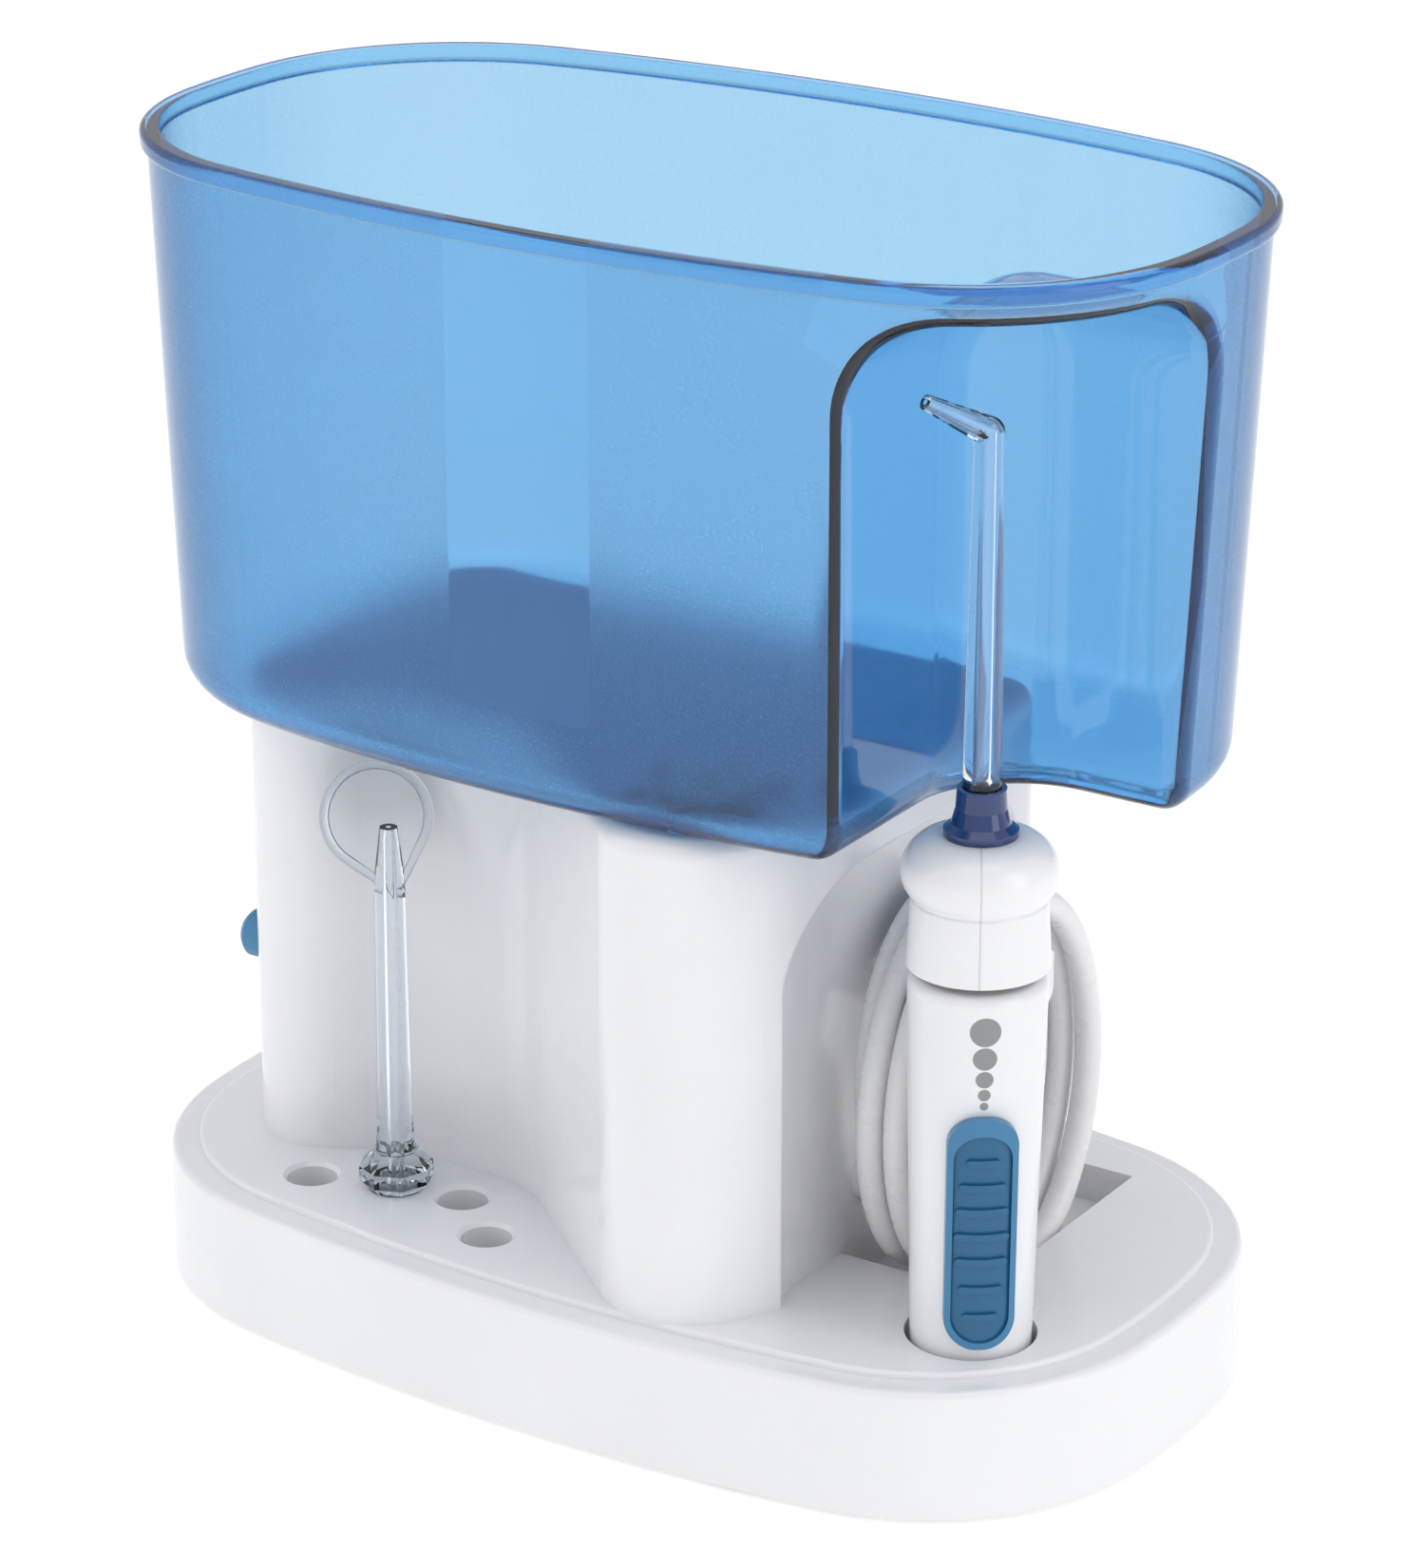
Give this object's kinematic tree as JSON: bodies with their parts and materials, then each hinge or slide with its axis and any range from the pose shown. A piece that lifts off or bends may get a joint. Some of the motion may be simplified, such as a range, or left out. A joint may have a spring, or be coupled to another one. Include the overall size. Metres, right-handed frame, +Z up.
{
  "type": "water flosser",
  "caption": "Countertop water flosser: white pump base, blue open tank with a notch, upright handle with a jet tip and slider, coiled hose and stored spare tip.",
  "frame": {"origin": "centre of the footprint on the surface that the feet stand on", "axes": "+X along the length towards the handle's end, -Y towards the front, +Z up"},
  "size_m": [0.2102, 0.1252, 0.2223],
  "materials": {
    "white_gloss": "gloss",
    "tank_blue": "frosted translucent",
    "slider_blue": "satin",
    "collar_blue": "gloss",
    "clear_tip": "clear",
    "hose_white": "gloss",
    "grey_plastic": "satin",
    "black_plastic": "satin",
    "natural_plastic": "satin",
    "rubber_dark": "matte",
    "rubber_blue": "matte",
    "steel": "brushed",
    "brass": "satin",
    "ferrite": "matte",
    "tubing": "satin"
  },
  "bodies": {
    "base": {"housing": "white_gloss", "bottom_plate": "white_gloss", "rubber_feet": "rubber_dark", "housing_screws": "steel", "hose_outlet": "white_gloss", "hose_hook": "white_gloss", "cord_gland": "white_gloss", "tank_port": "grey_plastic", "port_seal": "rubber_dark", "gear_axle": "steel", "axle_clip": "steel", "drive_frame": "grey_plastic", "frame_mounts": "rubber_dark", "frame_screws": "steel", "motor_screws": "steel", "motor_can": "steel", "motor_bearing": "brass", "motor_end_cap": "black_plastic", "motor_magnets": "ferrite", "pump_body": "natural_plastic", "head_gasket": "rubber_dark", "pump_head": "natural_plastic", "inlet_valve": "rubber_dark", "outlet_valve": "rubber_dark", "head_screws": "steel", "lug_screws": "steel", "suction_tube": "tubing", "discharge_tube": "tubing", "button_spring": "steel", "switch_body": "black_plastic", "switch_bracket": "grey_plastic", "mains_leads": "black_plastic", "motor_leads": "black_plastic", "hose_coil": "hose_white", "hose_lead_out": "hose_white", "hose_lead_in": "hose_white"},
    "rotor": {"motor_shaft": "steel", "motor_armature": "steel", "pinion": "brass"},
    "gear": {"drive_gear": "natural_plastic"},
    "rod": {"connecting_rod": "natural_plastic"},
    "piston": {"piston": "natural_plastic", "piston_seal": "rubber_dark"},
    "button": {"power_button": "rubber_blue"},
    "tank_body": {"tank": "tank_blue", "tank_valve": "rubber_blue"},
    "handle": {"handle_barrel": "white_gloss", "handle_plug": "white_gloss", "handle_stem": "grey_plastic", "knob_seal": "rubber_dark"},
    "slider": {"pressure_slider": "slider_blue", "slider_grip": "slider_blue", "slider_valve": "natural_plastic"},
    "knob": {"tip_knob": "white_gloss"},
    "tip": {"jet_tip": "clear_tip", "tip_collar": "collar_blue"},
    "spare_tip": {"tongue_cleaner": "clear_tip"}
  },
  "joints": [
    {"name": "rotor_spin", "type": "hinge", "parent": "base", "child": "rotor", "pos_m": [-0.05998, 0, 0.06478], "axis": [0, 1, 0], "continuous": true},
    {"name": "gear_spin", "type": "hinge", "parent": "base", "child": "gear", "pos_m": [-0.037, 0, 0.0455], "axis": [0, 1, 0], "continuous": true},
    {"name": "rod_swing", "type": "hinge", "parent": "gear", "child": "rod", "pos_m": [-0.034, -0.01, 0.0455], "axis": [0, 1, 0], "continuous": true},
    {"name": "piston_stroke", "type": "slide", "parent": "base", "child": "piston", "axis": [1, 0, 0], "range_m": [-0.006, 0]},
    {"name": "button_press", "type": "slide", "parent": "base", "child": "button", "axis": [1, 0, 0], "range_m": [0, 0.0025], "stiffness_N_per_m": 600, "springref_m": -0.001, "deforming": ["button_spring"]},
    {"name": "tank_lift", "type": "slide", "parent": "base", "child": "tank_body", "axis": [0, 0, 1], "range_m": [0, 0.1]},
    {"name": "handle_lift", "type": "slide", "parent": "base", "child": "handle", "axis": [0, 0, 1], "range_m": [0, 0.01]},
    {"name": "slider_slide", "type": "slide", "parent": "handle", "child": "slider", "axis": [0.0129, -0.0172, 0.9998], "range_m": [0, 0.014]},
    {"name": "knob_turn", "type": "hinge", "parent": "handle", "child": "knob", "pos_m": [0.076, -0.0283, 0.105], "axis": [0, 0, 1], "continuous": true},
    {"name": "tip_pull", "type": "slide", "parent": "knob", "child": "tip", "axis": [0, 0, 1], "range_m": [0, 0.01]},
    {"name": "spare_tip_pull", "type": "slide", "parent": "base", "child": "spare_tip", "axis": [0, 0, 1], "range_m": [0, 0.008]}
  ],
  "couplings": [
    {"joint": "gear_spin", "follows": "rotor_spin", "ratio": -0.25},
    {"joint": "rod_swing", "follows": "rotor_spin", "ratio": 0.25}
  ]
}
